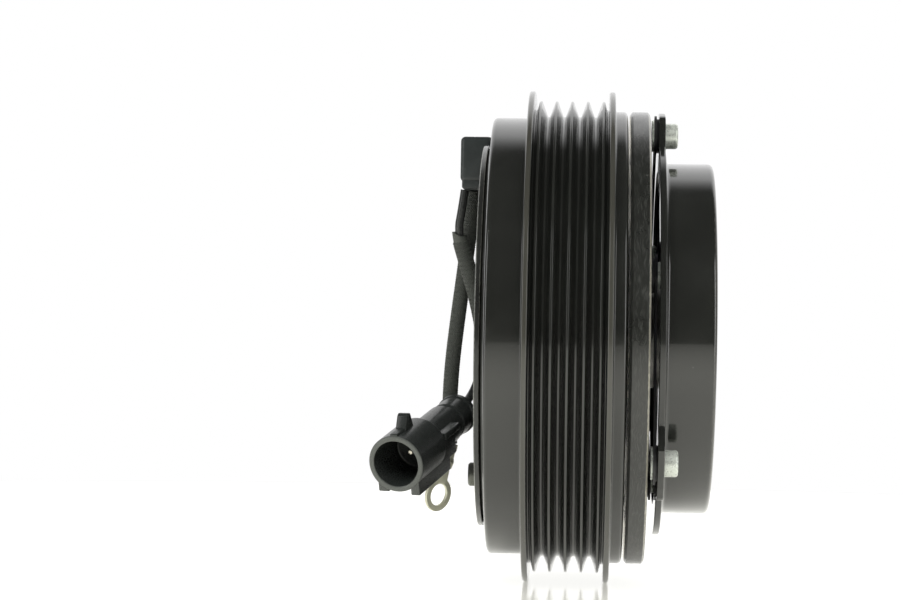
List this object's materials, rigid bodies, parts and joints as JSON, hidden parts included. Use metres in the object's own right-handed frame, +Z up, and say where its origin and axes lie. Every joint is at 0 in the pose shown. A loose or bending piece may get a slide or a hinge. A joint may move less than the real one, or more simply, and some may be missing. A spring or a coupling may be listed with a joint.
{
  "type": "electromagnetic clutch",
  "caption": "Electromagnetic belt pulley clutch for a vehicle air-conditioning compressor: field coil, ball bearing, sprung armature, damped hub, and leads with a plug and an eye terminal.",
  "frame": {"origin": "centre of the pulley bearing's bore, which is also the middle plane of the belt grooves", "axes": "+X along the clutch axis, from the compressor side towards the hub's front face; +Z up, with the wire gland at the top; -Y towards the side that shows the plug connector"},
  "size_m": [0.0765, 0.1124, 0.1124],
  "materials": {
    "black_paint": "glossy black paint on steel, worn at edges",
    "plate_paint": "semi-gloss black coating",
    "bare_steel": "machined bearing steel",
    "spring_steel": "blued spring steel",
    "zinc": "bright zinc plating",
    "tin": "tin plated copper",
    "bronze_contact": "plated brass",
    "copper_wire": "enamelled copper winding",
    "black_plastic": "fine moulded black plastic",
    "cream_plastic": "natural nylon",
    "resin": "dark potting resin",
    "black_rubber": "black damper rubber",
    "braid": "braided dark grey covering",
    "wire_jacket": "smooth black jacket",
    "seal_rubber": "brown-black seal rubber"
  },
  "bodies": {
    "stator": {"coil_mounting_plate": "plate_paint", "coil_housing": "plate_paint", "coil_bobbin": "cream_plastic", "coil_winding": "copper_wire", "potting_resin": "resin", "locating_pin": "black_paint", "wire_gland": "black_plastic", "ground_lead": "braid", "ring_terminal": "tin", "power_lead": "wire_jacket", "power_lead_sleeve": "braid", "connector_housing": "black_plastic", "connector_pin": "bronze_contact", "connector_seal": "seal_rubber", "bearing_inner_ring": "bare_steel"},
    "pulley": {"pulley_rotor": "black_paint", "bearing_outer_ring": "bare_steel", "bearing_seal_rear": "seal_rubber", "bearing_seal_front": "seal_rubber", "bearing_snap_ring": "spring_steel"},
    "ball_cage": {"bearing_balls": "bare_steel", "bearing_cage_rear": "cream_plastic", "bearing_cage_front": "cream_plastic"},
    "hub": {"hub_drum": "black_paint", "rubber_damper": "black_rubber", "hub_core": "bare_steel", "hub_rivet_1": "zinc", "hub_rivet_2": "zinc", "hub_rivet_3": "zinc", "hub_spacer_1": "zinc", "hub_spacer_2": "zinc", "hub_spacer_3": "zinc", "leaf_spring_1": "spring_steel", "leaf_spring_2": "spring_steel", "leaf_spring_3": "spring_steel"},
    "armature": {"armature_plate": "black_paint", "armature_rivet_1": "zinc", "armature_rivet_2": "zinc", "armature_rivet_3": "zinc", "armature_spacer_1": "zinc", "armature_spacer_2": "zinc", "armature_spacer_3": "zinc"}
  },
  "joints": [
    {"name": "pulley_spin", "type": "hinge", "parent": "stator", "child": "pulley", "pos_m": [0, 0, 0], "axis": [1, 0, 0], "continuous": true},
    {"name": "cage_spin", "type": "hinge", "parent": "stator", "child": "ball_cage", "pos_m": [0, 0, 0], "axis": [1, 0, 0], "continuous": true},
    {"name": "hub_spin", "type": "hinge", "parent": "stator", "child": "hub", "pos_m": [0.02, 0, 0], "axis": [1, 0, 0], "continuous": true},
    {"name": "armature_pull_in", "type": "slide", "parent": "hub", "child": "armature", "axis": [-1, 0, 0], "range_m": [0, 0.00045], "stiffness_N_per_m": 15000, "springref_m": -0.0002, "deforming": ["leaf_spring_1", "leaf_spring_2", "leaf_spring_3"]}
  ],
  "couplings": [
    {"joint": "cage_spin", "follows": "pulley_spin", "ratio": 0.5774}
  ]
}
